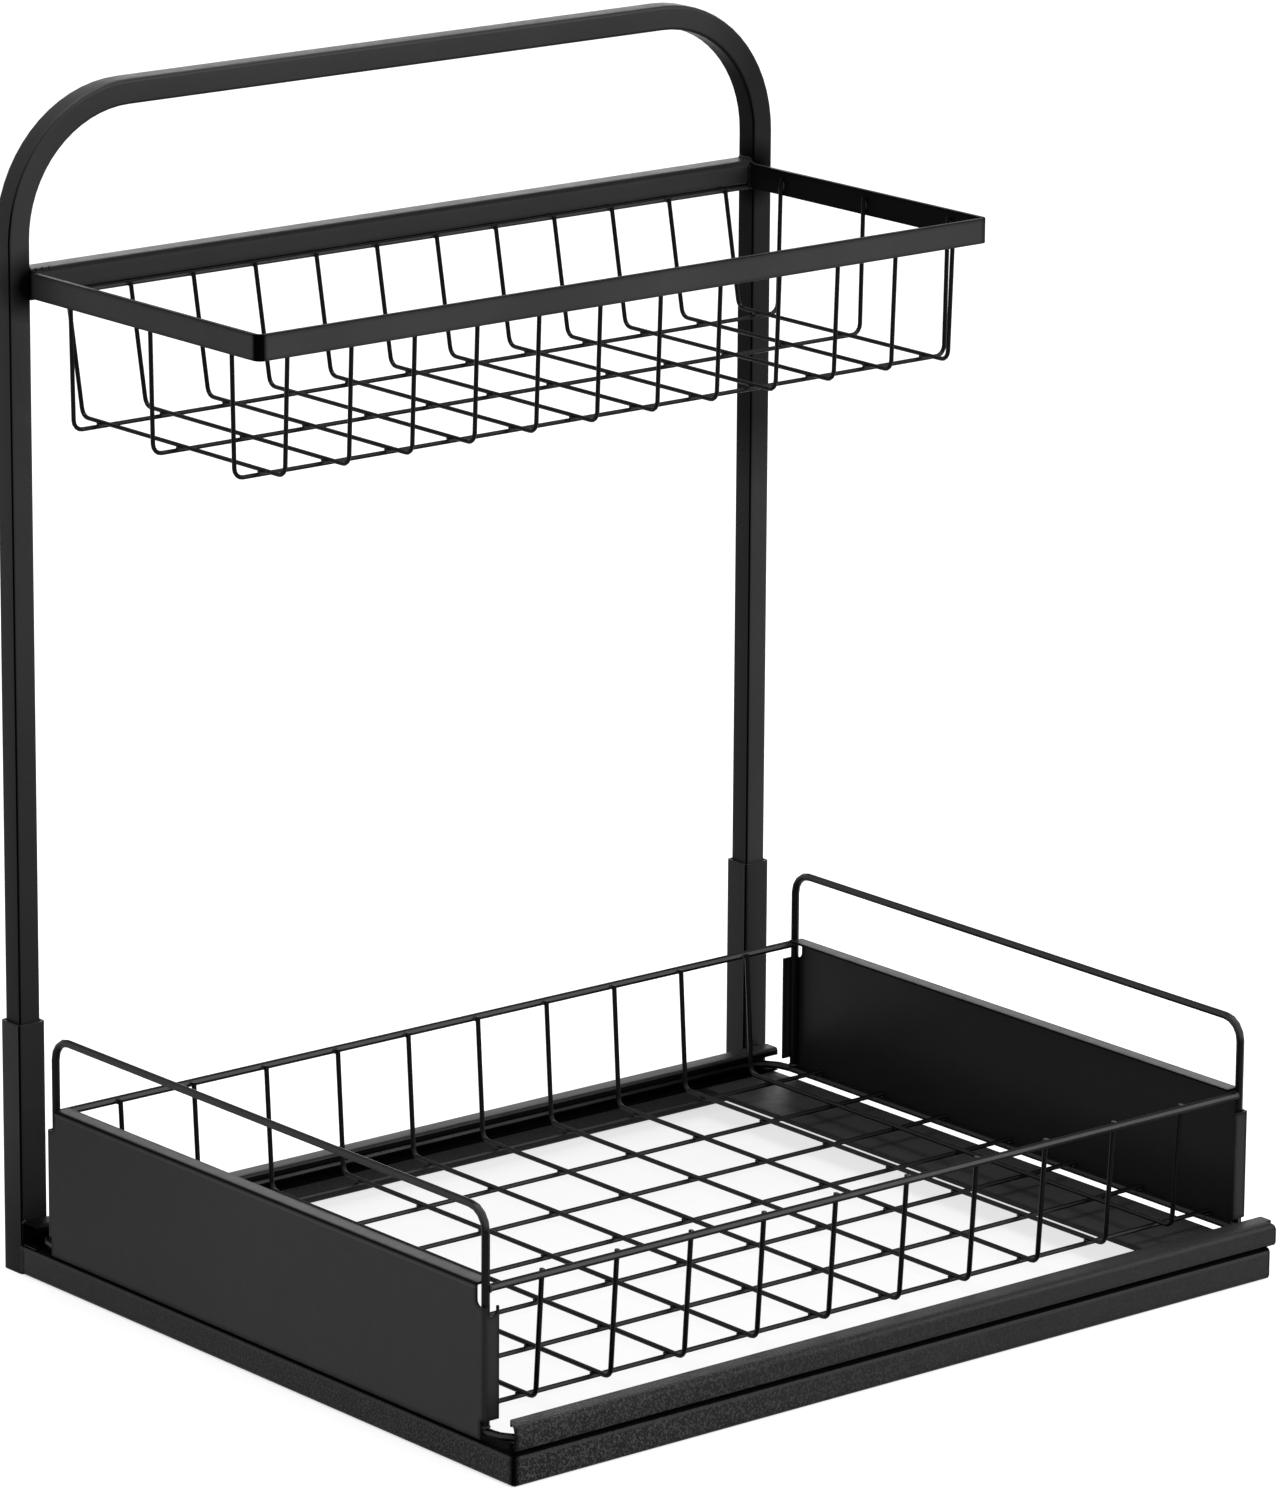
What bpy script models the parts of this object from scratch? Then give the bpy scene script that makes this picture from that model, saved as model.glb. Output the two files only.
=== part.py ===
"""Two-tier spice rack: a welded tube base with two roll-formed rails, a wire drawer that slides
along them between two folded end plates, and a plug-in U frame that carries a wire basket.

Metres, +Z up. X is the direction in which the drawer slides, and the front is at -Y.
The origin is on the floor, under the centre of the rack's outline.
"""

import math

import bmesh
import bpy
from mathutils import Vector

# Overall size
rack_width = 0.380
rack_depth = 0.318
rack_height = 0.4645

# Gap between pieces that are welded or rest on each other, gap under the sliding end plates,
# and how far a cutter runs past what it cuts
seat_gap = 0.0002
plate_clearance = 0.0005
overrun = 0.003

# Square tube of the base and of the sleeves
tube_side = 0.0127
tube_wall = 0.0012
tube_corner = 0.0018
front_tube_setback = 0.003
base_corner_bend = 0.0022
sleeve_height = 0.101

# Square tube of the U frame, which plugs into the sleeves, and of the basket's rear bar
frame_side = 0.010
frame_wall = 0.0010
frame_corner = 0.0015
frame_bend = 0.052
plug_depth = 0.083

# Lock screws in the sleeves' rear walls
screw_radius = 0.002
screw_clearance = 0.00015
screw_drop = 0.013
socket_radius = 0.0011
socket_depth = 0.0008

# Rails: a C section with a lipped top edge, open towards the drawer. The front one's left end is
# cut at a slant, and the rear one stops short on the right
rail_depth = 0.010
rail_height = 0.0098
rail_wall = 0.0010
rail_lip = 0.003
rail_top_bend = 0.003
rail_bottom_bend = 0.0018
rail_lip_bend = 0.0014
rail_end_radius = 0.003
rail_end_trim = 0.0005
rail_end_slant = 0.0058
rear_rail_setback = 0.003

# Cross member: a flat bar across the right end of the base
cross_width = 0.0385
cross_thickness = 0.002
cross_inset = 0.0042
cross_corner = 0.006

# Drawer: the runner ring in the rails, the handles that stand on it, and the rods between them
rod_radius = 0.0016
runner_clearance = 0.0005
runner_bend = 0.015
handle_rise = 0.0295
handle_bend = 0.0085
rod_drop = 0.0007

# Drawer: the thin wires of its mesh
mesh_wire_radius = 0.0010
drawer_lean = 0.0035
drawer_bend = 0.0035
drawer_wire_drop = 0.0006
drawer_depth_wires = 10
drawer_depth_inset = 0.0284
drawer_long_wires = 7
drawer_long_inset = 0.0164
long_wire_setback = 0.0018

# End plates, folded from sheet, with notches where the handles' legs pass the corners, and one slot
# in the left plate's front flange
plate_setback = 0.0156
plate_height = 0.0593
plate_wall = 0.0010
plate_fold = 0.0014
flange_width = 0.007
flange_rise = 0.0073
skirt_inset = 0.0024
notch_length = 0.005
notch_depth = 0.0087
notch_bend = 0.0024
slot_width = 0.0044
slot_depth = 0.0124
slot_bend = 0.002
slot_spike = 0.0009

# Upper basket
basket_drop = 0.0678
basket_reach = 0.142
basket_height = 0.057
rim_height = 0.010
rim_thickness = 0.002
rim_drop = 0.0012
rim_bend = 0.0032
basket_wire_radius = 0.0009
basket_front_lean = 0.002
basket_rear_lean = 0.0093
basket_side_lean = 0.001
basket_bend = 0.004
basket_wire_rise = 0.0075
basket_depth_wires = 12
basket_depth_inset = 0.0158
basket_long_wires = 3
basket_long_inset = 0.0205

# Facets, and the distance within which loose points are joined
merge_distance = 0.000001
wire_resolution = 2
wire_bend_steps = 4
tube_bend_steps = 16
fold_steps = 3
round_segments = 24
hexagon = 6
sharp_angle = math.radians(50)
quarter_turn = math.radians(90)

# Places worked out from the sizes above
half_width = rack_width / 2
front = -rack_depth / 2
rear = rack_depth / 2
sleeve_front = rear - tube_side
rail_bottom = tube_side + seat_gap
rear_rail_back = sleeve_front - seat_gap
drawer_y = (front + rear_rail_back) / 2
runner_half_depth = rear_rail_back - drawer_y - rail_wall - runner_clearance - rod_radius
runner_half_width = half_width - plate_wall - seat_gap - rod_radius
runner_z = rail_bottom + rail_wall + seat_gap + rod_radius
long_wire_z = runner_z + rod_radius + seat_gap + mesh_wire_radius
depth_wire_z = long_wire_z + seat_gap + 2 * mesh_wire_radius
plate_length = 2 * (runner_half_depth + rod_radius - plate_setback)
plate_bottom = tube_side + plate_clearance
plate_top = plate_bottom + plate_height
leg_half_depth = plate_length / 2 - plate_wall - seat_gap - rod_radius
rod_z = plate_top - rod_drop - rod_radius
frame_inset = (tube_side - frame_side) / 2
frame_y = rear - tube_side / 2
frame_front = frame_y - frame_side / 2
upright_x = half_width - tube_side / 2
upright_inner = upright_x - frame_side / 2
basket_top = rack_height - basket_drop
basket_floor = basket_top - basket_height
basket_long_z = basket_floor - seat_gap - 2 * basket_wire_radius
rim_back = frame_front - seat_gap
rim_front = rim_back - basket_reach
rim_middle = basket_top - rim_drop - rim_height / 2


def clear_scene():
    for obj in list(bpy.data.objects):
        bpy.data.objects.remove(obj)


def new_collection(name):
    collection = bpy.data.collections.new(name)
    bpy.context.scene.collection.children.link(collection)
    return collection


def powder_coat(name, shade, roughness):
    """Black powder-coated steel. Each piece has its own."""
    material = bpy.data.materials.new(name)
    material.use_nodes = True
    surface = material.node_tree.nodes["Principled BSDF"]
    surface.inputs["Base Color"].default_value = (shade, shade, shade, 1)
    surface.inputs["Roughness"].default_value = roughness
    surface.inputs["Metallic"].default_value = 0
    return material


def empty(name, location):
    marker = bpy.data.objects.new(name, None)
    marker.location = location
    pieces.objects.link(marker)
    return marker


def piece(name, data, body, location=(0, 0, 0), rotation=(0, 0, 0), shade=0.02, roughness=0.45):
    """An object of the rack, carried by the empty of its body."""
    if not data.materials:
        data.materials.append(None)
    obj = bpy.data.objects.new(name, data)
    obj.location = location
    obj.rotation_euler = rotation
    obj.parent = body
    pieces.objects.link(obj)
    obj.material_slots[0].link = "OBJECT"
    obj.material_slots[0].material = powder_coat(name, shade, roughness)
    return obj


def rounded(corners, radii, steps, closed=False):
    """The corners as a path in which each turn is an arc, with its own radius or one for all."""
    corners = [Vector(corner) for corner in corners]
    count = len(corners)
    turns = range(count) if closed else range(1, count - 1)
    if not isinstance(radii, (list, tuple)):
        radii = [radii] * len(turns)
    path = [] if closed else [corners[0]]
    for turn, radius in zip(turns, radii):
        corner = corners[turn]
        back = (corners[turn - 1] - corner).normalized()
        ahead = (corners[(turn + 1) % count] - corner).normalized()
        half_angle = back.angle(ahead) / 2
        centre = corner + (back + ahead).normalized() * radius / math.sin(half_angle)
        first = corner + back * radius / math.tan(half_angle) - centre
        last = corner + ahead * radius / math.tan(half_angle) - centre
        sweep = first.angle(last)
        for step in range(steps + 1):
            share = step / steps
            near = math.sin((1 - share) * sweep) * first
            far = math.sin(share * sweep) * last
            path.append(centre + (near + far) / math.sin(sweep))
    if not closed:
        path.append(corners[-1])
    return path


def path_curve(name, path, closed=False):
    data = bpy.data.curves.new(name, "CURVE")
    data.dimensions = "3D"
    spline = data.splines.new("POLY")
    spline.points.add(len(path) - 1)
    for point, place in zip(spline.points, path):
        point.co = (*place, 1)
    spline.use_cyclic_u = closed
    return data


def wire_curve(name, corners, radius, bend=0, closed=False):
    """A round wire, bent at its corners, with filled caps."""
    path = rounded(corners, bend, wire_bend_steps, closed) if bend else corners
    data = path_curve(name, path, closed)
    data.bevel_depth = radius
    data.bevel_resolution = wire_resolution
    data.use_fill_caps = not closed
    return data


def mesh_of(name, data):
    """The mesh that a curve makes, with its loose edges joined."""
    source = bpy.data.objects.new(name, data)
    guides.objects.link(source)
    bpy.context.view_layer.update()
    evaluated = source.evaluated_get(bpy.context.evaluated_depsgraph_get())
    mesh = bpy.data.meshes.new_from_object(evaluated)
    mesh.name = name
    shape = bmesh.new()
    shape.from_mesh(mesh)
    bmesh.ops.remove_doubles(shape, verts=shape.verts, dist=merge_distance)
    shape.to_mesh(mesh)
    shape.free()
    bpy.data.objects.remove(source)
    return mesh


def shade_round(mesh):
    mesh.shade_smooth()
    mesh.set_sharp_from_angle(angle=sharp_angle)
    return mesh


def thicken(obj, wall):
    """A wall on the inner side of an open sheet."""
    solidify = obj.modifiers.new("wall", "SOLIDIFY")
    solidify.thickness = wall
    solidify.offset = -1
    solidify.use_even_offset = True


def square_tube(name, corners, side, wall, corner_radius, body, location, rotation, bend=0):
    """A hollow square tube along a path in the local XY plane."""
    half = side / 2
    square = [(-half, -half, 0), (-half, half, 0), (half, half, 0), (half, -half, 0)]
    outline = rounded(square, corner_radius, fold_steps, closed=True)
    profile = bpy.data.objects.new(name, path_curve(name, outline, closed=True))
    guides.objects.link(profile)
    path = rounded(corners, bend, tube_bend_steps) if bend else corners
    data = path_curve(name, path)
    data.twist_mode = "Z_UP"
    data.bevel_mode = "OBJECT"
    data.bevel_object = profile
    mesh = shade_round(mesh_of(name, data))
    bpy.data.objects.remove(profile)
    obj = piece(name, mesh, body, location, rotation)
    thicken(obj, wall)
    return obj


def folded_strip(name, path, length, wall, body, location, rotation):
    """Sheet that follows a path in the local XY plane and is length wide along local Z."""
    data = path_curve(name, path)
    data.extrude = length / 2
    obj = piece(name, shade_round(mesh_of(name, data)), body, location, rotation)
    thicken(obj, wall)
    return obj


def box_mesh(name, size):
    shape = bmesh.new()
    bmesh.ops.create_cube(shape, size=1)
    bmesh.ops.scale(shape, vec=size, verts=shape.verts)
    mesh = bpy.data.meshes.new(name)
    shape.to_mesh(mesh)
    shape.free()
    return mesh


def bar_mesh(name, radius, length, segments=round_segments):
    """A straight round or many-sided bar along local Z."""
    shape = bmesh.new()
    bmesh.ops.create_cone(
        shape, cap_ends=True, segments=segments, radius1=radius, radius2=radius, depth=length
    )
    mesh = bpy.data.meshes.new(name)
    shape.to_mesh(mesh)
    shape.free()
    return shade_round(mesh)


def plate_mesh(name, outline, thickness):
    """A flat plate with this outline in the local XY plane, thickness tall along local Z."""
    data = path_curve(name, outline, closed=True)
    data.dimensions = "2D"
    data.fill_mode = "BOTH"
    data.extrude = thickness / 2
    return mesh_of(name, data)


def slot_mesh(name, width, depth, bend, thickness):
    """A slot open at its upper end, with rounded lower corners, that hangs down local Y from zero."""
    half = width / 2
    corners = [(-half, overrun, 0), (-half, -depth, 0), (half, -depth, 0), (half, overrun, 0)]
    return plate_mesh(name, rounded(corners, bend, wire_bend_steps), thickness)


def cut(obj, mesh, location, rotation=(0, 0, 0)):
    """Takes the mesh, placed in the frame of the piece's body, out of the piece."""
    cutter = bpy.data.objects.new(mesh.name, mesh)
    cutter.location = location
    cutter.rotation_euler = rotation
    cutter.parent = obj.parent
    cutter.hide_render = True
    cutter.display_type = "WIRE"
    guides.objects.link(cutter)
    boolean = obj.modifiers.new(mesh.name, "BOOLEAN")
    boolean.operation = "DIFFERENCE"
    boolean.solver = "EXACT"
    boolean.object = cutter


def row(count, reach):
    """The places of evenly spaced copies, from -reach to reach."""
    return [(2 * index / (count - 1) - 1) * reach for index in range(count)]


def make_base(body):
    """The tubes on the floor, mitred at the front left corner, which is rounded."""
    half = tube_side / 2
    front_run = [(-half_width, 0, 0), (half_width - front_tube_setback, 0, 0)]
    left_run = [(front, 0, 0), (sleeve_front - seat_gap, 0, 0)]
    rear_end = half_width - tube_side - seat_gap
    rear_run = [(-rear_end, 0, 0), (rear_end, 0, 0)]
    section = (tube_side, tube_wall, tube_corner, body)
    front_tube = square_tube("base_tube_front", front_run, *section, (0, front + half, half), (0, 0, 0))
    left_place = (half - half_width, 0, half)
    left_tube = square_tube("base_tube_left", left_run, *section, left_place, (0, 0, quarter_turn))
    square_tube("base_tube_rear", rear_run, *section, (0, rear - half, half), (0, 0, 0))
    mitre = 3 * tube_side
    reach = (mitre - seat_gap) / 2 * math.sin(quarter_turn / 2)
    radius = base_corner_bend
    arc = rounded([(0, radius, 0), (0, 0, 0), (radius, 0, 0)], radius, wire_bend_steps)
    outside = [(radius, -overrun, 0), (-overrun, -overrun, 0), (-overrun, radius, 0)]
    for tube, toward in ((front_tube, -1), (left_tube, 1)):
        block = box_mesh(tube.name + "_mitre", (mitre, mitre, mitre))
        place = (toward * reach - half_width, front - toward * reach, half)
        cut(tube, block, place, (0, 0, quarter_turn / 2))
        corner = plate_mesh(tube.name + "_corner", [*arc, *outside], mitre)
        cut(tube, corner, (-half_width, front, half))


def make_cross_member(body):
    """A flat bar with rounded corners between the front and rear tubes."""
    reach = rack_depth / 2 - tube_side - seat_gap
    half = cross_width / 2
    corners = [(-half, -reach, 0), (half, -reach, 0), (half, reach, 0), (-half, reach, 0)]
    outline = rounded(corners, cross_corner, wire_bend_steps, closed=True)
    place = (half_width - cross_inset - half, 0, tube_side - cross_thickness / 2)
    piece("base_cross_member", plate_mesh("base_cross_member", outline, cross_thickness), body, place)


def make_sleeves(body):
    """The sockets at the rear corners, each with a lock screw in its rear wall."""
    upright = (0, -quarter_turn, 0)
    backward = (quarter_turn, 0, 0)
    run = [(0, 0, 0), (sleeve_height, 0, 0)]
    length = frame_inset - seat_gap
    height = sleeve_height - screw_drop
    for side, name in ((-1, "left"), (1, "right")):
        x = side * upright_x
        sleeve = square_tube(
            "sleeve_" + name, run, tube_side, tube_wall, tube_corner, body, (x, frame_y, 0), upright
        )
        hole = bar_mesh(sleeve.name + "_hole", screw_radius + screw_clearance, 2 * tube_wall)
        cut(sleeve, hole, (x, rear - tube_wall / 2, height), backward)
        screw = piece(
            "lock_screw_" + name, bar_mesh("lock_screw_" + name, screw_radius, length), body,
            (x, rear - length / 2, height), backward,
        )
        socket = bar_mesh(screw.name + "_socket", socket_radius, 2 * socket_depth, hexagon)
        cut(screw, socket, (x, rear, height), backward)


def make_rails(body):
    """Two C sections. The drawer's runner rests on their lower flanges, inside them."""
    bends = [rail_bottom_bend, rail_top_bend, rail_lip_bend]
    lip_end = rail_height - rail_lip
    radius = rail_end_radius
    spandrel = [(radius + overrun, 0, 0), (radius + overrun, radius + overrun, 0), (0, radius + overrun, 0)]
    ends = (("front", front, 1, half_width), ("rear", rear_rail_back, -1, half_width - rear_rail_setback))
    for name, back, facing, right_end in ends:
        inner = facing * rail_depth
        web = [(inner, 0, 0), (0, 0, 0), (0, rail_height, 0)]
        path = rounded([*web, (inner, rail_height, 0), (inner, lip_end, 0)], bends, fold_steps)
        middle = (right_end - half_width) / 2
        rail = folded_strip(
            "rail_" + name, path[::facing], half_width + right_end, rail_wall, body,
            (middle, back, rail_bottom), (quarter_turn, 0, quarter_turn),
        )
        arc = rounded([(0, radius, 0), (radius, radius, 0), (radius, 0, 0)], radius, wire_bend_steps)
        corner = plate_mesh(rail.name + "_corner", [*arc, *spandrel], 2 * rail_top_bend)
        place = (right_end - radius, back, rail_bottom + rail_height - radius)
        cut(rail, corner, place, (quarter_turn, 0, 0))
        if facing > 0:
            slant = rail_end_slant / rail_depth
            behind = rail_depth + overrun
            outline = [
                (rail_end_trim - slant * overrun, -overrun, 0),
                (rail_end_trim + slant * behind, behind, 0),
                (-2 * overrun, behind, 0),
                (-2 * overrun, -overrun, 0),
            ]
            wedge = plate_mesh(rail.name + "_slant", outline, 3 * rail_height)
            cut(rail, wedge, (-half_width, back, rail_bottom + rail_height / 2))


def make_upper_frame(body):
    """One square tube bent into a U, and the square tube between its uprights."""
    foot = sleeve_height - plug_depth
    top = rack_height - frame_side / 2
    corners = [(-upright_x, foot, 0), (-upright_x, top, 0), (upright_x, top, 0), (upright_x, foot, 0)]
    section = (frame_side, frame_wall, frame_corner, body)
    square_tube("upper_frame", corners, *section, (0, frame_y, 0), (quarter_turn, 0, 0), frame_bend)
    reach = upright_inner - seat_gap
    bar_place = (0, frame_y, basket_top - frame_side / 2)
    square_tube("basket_rear_bar", [(-reach, 0, 0), (reach, 0, 0)], *section, bar_place, (0, 0, 0))


def make_basket(body):
    """The rim of flat bar, and the bent wires that hang from it and from the rear bar."""
    corners = [
        (upright_inner, rim_back, 0),
        (upright_inner, rim_front, 0),
        (-upright_inner, rim_front, 0),
        (-upright_inner, rim_back, 0),
    ]
    rim_path = rounded(corners, rim_bend, wire_bend_steps)
    folded_strip("basket_rim", rim_path, rim_height, rim_thickness, body, (0, 0, rim_middle), (0, 0, 0))

    radius = basket_wire_radius
    gap = seat_gap + radius
    rear_wire_y = frame_front + radius
    rear_wire_z = basket_top - frame_side - seat_gap - radius
    reach = upright_inner - seat_gap
    rear_wire = wire_curve("basket_rear_wire", [(-reach, 0, 0), (reach, 0, 0)], radius)
    piece("basket_rear_wire", rear_wire, body, (0, rear_wire_y, rear_wire_z))

    front_top = rim_front + rim_thickness + gap
    rear_top = rear_wire_y - radius - gap
    wire_top = rim_middle - rim_height / 2 + basket_wire_rise
    depth_corners = [
        (0, front_top, wire_top),
        (0, front_top + basket_front_lean, basket_floor),
        (0, rear_top - basket_rear_lean, basket_floor),
        (0, rear_top, rear_wire_z + radius),
    ]
    depth_wire = wire_curve("basket_depth_wire", depth_corners, radius, basket_bend)
    for number, x in enumerate(row(basket_depth_wires, upright_inner - basket_depth_inset), 1):
        piece(f"basket_depth_wire_{number:02d}", depth_wire, body, (x, 0, 0))

    side = upright_inner - rim_thickness - gap
    long_corners = [
        (-side, 0, wire_top),
        (basket_side_lean - side, 0, basket_long_z),
        (side - basket_side_lean, 0, basket_long_z),
        (side, 0, wire_top),
    ]
    long_wire = wire_curve("basket_long_wire", long_corners, radius, basket_bend)
    middle = (rim_front + rim_back) / 2
    for number, y in enumerate(row(basket_long_wires, basket_reach / 2 - basket_long_inset), 1):
        piece(f"basket_long_wire_{number}", long_wire, body, (0, middle + y, 0))


def make_drawer_frame(body):
    """The runner ring, the two handles that stand on it, and the rods between their legs."""
    x, y = runner_half_width, runner_half_depth
    corners = [(-x, -y, 0), (x, -y, 0), (x, y, 0), (-x, y, 0)]
    ring = wire_curve("runner_ring", corners, rod_radius, runner_bend, closed=True)
    piece("runner_ring", ring, body)

    y = leg_half_depth
    foot = rod_radius + seat_gap
    top = plate_top + handle_rise - rod_radius - runner_z
    corners = [(0, -y, foot), (0, -y, top), (0, y, top), (0, y, foot)]
    handle = wire_curve("handle", corners, rod_radius, handle_bend)
    for side, name in ((-1, "left"), (1, "right")):
        piece("handle_" + name, handle, body, (side * runner_half_width, 0, 0))

    reach = runner_half_width - rod_radius - seat_gap
    rod = wire_curve("drawer_rod", [(-reach, 0, 0), (reach, 0, 0)], rod_radius)
    for side, name in ((-1, "front"), (1, "rear")):
        piece("drawer_rod_" + name, rod, body, (0, side * y, rod_z - runner_z))


def make_drawer_mesh(body):
    """Wires bent down from the front rod and up to the rear rod, over straight wires on the ring."""
    radius = mesh_wire_radius
    top_y = leg_half_depth - rod_radius - seat_gap - radius
    top_z = rod_z + rod_radius - drawer_wire_drop - runner_z
    floor_y = top_y - drawer_lean
    floor_z = depth_wire_z - runner_z
    corners = [(0, -top_y, top_z), (0, -floor_y, floor_z), (0, floor_y, floor_z), (0, top_y, top_z)]
    depth_wire = wire_curve("drawer_depth_wire", corners, radius, drawer_bend)
    for number, x in enumerate(row(drawer_depth_wires, runner_half_width - drawer_depth_inset), 1):
        piece(f"drawer_depth_wire_{number:02d}", depth_wire, body, (x, 0, 0))

    reach = half_width - long_wire_setback
    long_wire = wire_curve("drawer_long_wire", [(-reach, 0, 0), (reach, 0, 0)], radius)
    for number, y in enumerate(row(drawer_long_wires, leg_half_depth - drawer_long_inset), 1):
        piece(f"drawer_long_wire_{number}", long_wire, body, (0, y, long_wire_z - runner_z))


def open_tray(name, side):
    """The end plate as an open sheet: its face, top, front and rear, with x = 0 on the outer face."""
    shape = bmesh.new()
    bmesh.ops.create_cube(shape, size=1)
    bmesh.ops.scale(shape, vec=(flange_width, plate_length, plate_height), verts=shape.verts)
    bmesh.ops.translate(shape, vec=(-side * flange_width / 2, 0, 0), verts=shape.verts)
    open_sides = [face for face in shape.faces if face.normal.x * side < -0.5 or face.normal.z < -0.5]
    bmesh.ops.delete(shape, geom=open_sides, context="FACES")
    mesh = bpy.data.meshes.new(name)
    shape.to_mesh(mesh)
    shape.free()
    return mesh


def make_end_plate(name, side, body):
    """A folded plate. side is -1 for the left one and 1 for the right one."""
    middle = plate_bottom + plate_height / 2 - runner_z
    plate = piece(name, open_tray(name, side), body, (side * half_width, 0, middle))
    fold = plate.modifiers.new("fold", "BEVEL")
    fold.width = plate_fold
    fold.segments = fold_steps
    fold.limit_method = "ANGLE"
    thicken(plate, plate_wall)

    # Notches through face and flange at the upper corners, a slot further down into the left
    # plate's front flange, and a skirt below the flanges that is a little shorter than the face
    bottom = plate_bottom - runner_z
    top = bottom + plate_height
    box_width = flange_width + 2 * overrun
    middle_x = side * (half_width - flange_width / 2)
    slot_x = side * (half_width - flange_width + slot_spike + slot_width / 2)
    skirt_height = flange_rise + overrun
    for end in (-1, 1):
        tip = end * plate_length / 2
        notch = slot_mesh(name + "_notch", notch_length + overrun, notch_depth, notch_bend, box_width)
        notch_y = tip - end * (notch_length - overrun) / 2
        cut(plate, notch, (middle_x, notch_y, top), (quarter_turn, 0, quarter_turn))
        if side + end < -1:
            slot = slot_mesh(name + "_slot", slot_width, slot_depth, slot_bend, 2 * overrun)
            cut(plate, slot, (slot_x, tip, top), (quarter_turn, 0, 0))
        skirt = box_mesh(name + "_skirt", (box_width, skirt_inset + overrun, skirt_height))
        skirt_y = tip + end * (overrun - skirt_inset) / 2
        cut(plate, skirt, (middle_x, skirt_y, bottom + flange_rise - skirt_height / 2))


def main():
    frame = empty("frame", (0, 0, 0))
    make_base(frame)
    make_cross_member(frame)
    make_sleeves(frame)
    make_rails(frame)
    make_upper_frame(frame)
    make_basket(frame)

    drawer = empty("drawer", (0, drawer_y, runner_z))
    make_drawer_frame(drawer)
    make_drawer_mesh(drawer)
    make_end_plate("end_plate_left", -1, drawer)
    make_end_plate("end_plate_right", 1, drawer)


clear_scene()
pieces = new_collection("two_tier_spice_rack")
guides = new_collection("cutters")
main()
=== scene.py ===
import math
import random

import bmesh
import bpy
from mathutils import Matrix, Vector, noise


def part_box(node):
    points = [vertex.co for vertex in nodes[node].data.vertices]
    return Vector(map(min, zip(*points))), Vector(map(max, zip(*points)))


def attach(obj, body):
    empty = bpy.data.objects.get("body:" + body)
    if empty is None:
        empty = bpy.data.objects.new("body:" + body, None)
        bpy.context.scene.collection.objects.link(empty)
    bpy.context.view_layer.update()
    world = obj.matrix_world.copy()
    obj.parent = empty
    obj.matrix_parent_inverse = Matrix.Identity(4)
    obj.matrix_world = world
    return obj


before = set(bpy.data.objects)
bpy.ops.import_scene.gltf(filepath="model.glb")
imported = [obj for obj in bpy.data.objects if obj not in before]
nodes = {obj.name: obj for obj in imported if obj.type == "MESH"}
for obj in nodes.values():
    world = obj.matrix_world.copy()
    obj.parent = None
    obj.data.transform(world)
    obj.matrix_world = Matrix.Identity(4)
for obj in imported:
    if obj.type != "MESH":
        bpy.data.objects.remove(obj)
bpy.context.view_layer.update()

# Every random number comes from here, in the same order on each run.
draw = random.Random(7)

# The picture is 1280 x 1500, and the camera's sensor lies along its long side.
picture_long_side = 1500
sensor = 36.0
focal_length = 8118.27

# The camera's place in metres and its angles in radians, fitted to the rack's straight edges.
camera_place = (-1.91692, -2.31066, 1.01973)
camera_turn = 0.6922
camera_tilt = 0.2632
camera_roll = -0.0068

# The solids that tones and weld metal are placed by.
tube_low, tube_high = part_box("base_tube_left")
front_tube_low, front_tube_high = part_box("base_tube_front")
rear_tube_low, rear_tube_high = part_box("base_tube_rear")
sleeve_low, sleeve_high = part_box("sleeve_left")
rail_low, rail_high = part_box("rail_rear")
bar_low, bar_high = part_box("basket_rear_bar")
rim_low, rim_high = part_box("basket_rim")
ring_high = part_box("runner_ring")[1]
plate_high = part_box("end_plate_right")[1]

# Painted shade lies on the uprights round these spots, where the bars are welded on.
joint_shade_spots = ((-0.1785, 0.1476, 0.391), (0.1785, 0.1476, 0.391))
# Painted shade: the left upright and its sleeve are darker round these spots.
left_shade = (-0.1837, 0, 0.09)
left_foot_shade = (-0.1837, 0.1463, 0.012)
# Painted shade: the left end plate is darker towards its rear upper corner.
plate_shade = (-0.19, 0.14, 0.10)
# The rear rail ends here, among lumps of weld metal, and painted shade blackens its end.
rail_end = (-0.189, 0.1415, 0.018)
# The powder coat is coarsest round this corner of the base, and painted shade makes its upright edge
# black.
coarse_corner = (-0.19, -0.159, 0.01)
corner_edge_shade = (coarse_corner[0], coarse_corner[1], 0)


# Materials

# The values between which most of a noise lies.
noise_range = (0.3, 0.7)
# The border of a line that looks sharp.
crisp = 0.00012
# The axes that a distance is measured along.
every_way = (1, 1, 1)
level_only = (1, 1, 0)
from_the_front = (1, 0, 1)
# The black that painted shade is laid on in; it also darkens the coarse coat round the base's front
# left corner.
near_black = (0.001, 0.001, 0.001)
# A painted highlight line beside the painted shade on a tube's rounded edge.
round_highlight = (0.026, 0.026, 0.0265)


def grey(tone):
    return tone, tone, tone


def cool(tone):
    """A grey with a little more blue."""
    return tone, tone, tone * 1.023


def painted_band(strength, tone=None, **ranges):
    """A band of painted highlight in a tone, or of painted shade in black, where x, y, z and facing
    lie in their (low, high, border).
    """
    return ranges, tone, strength


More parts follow.
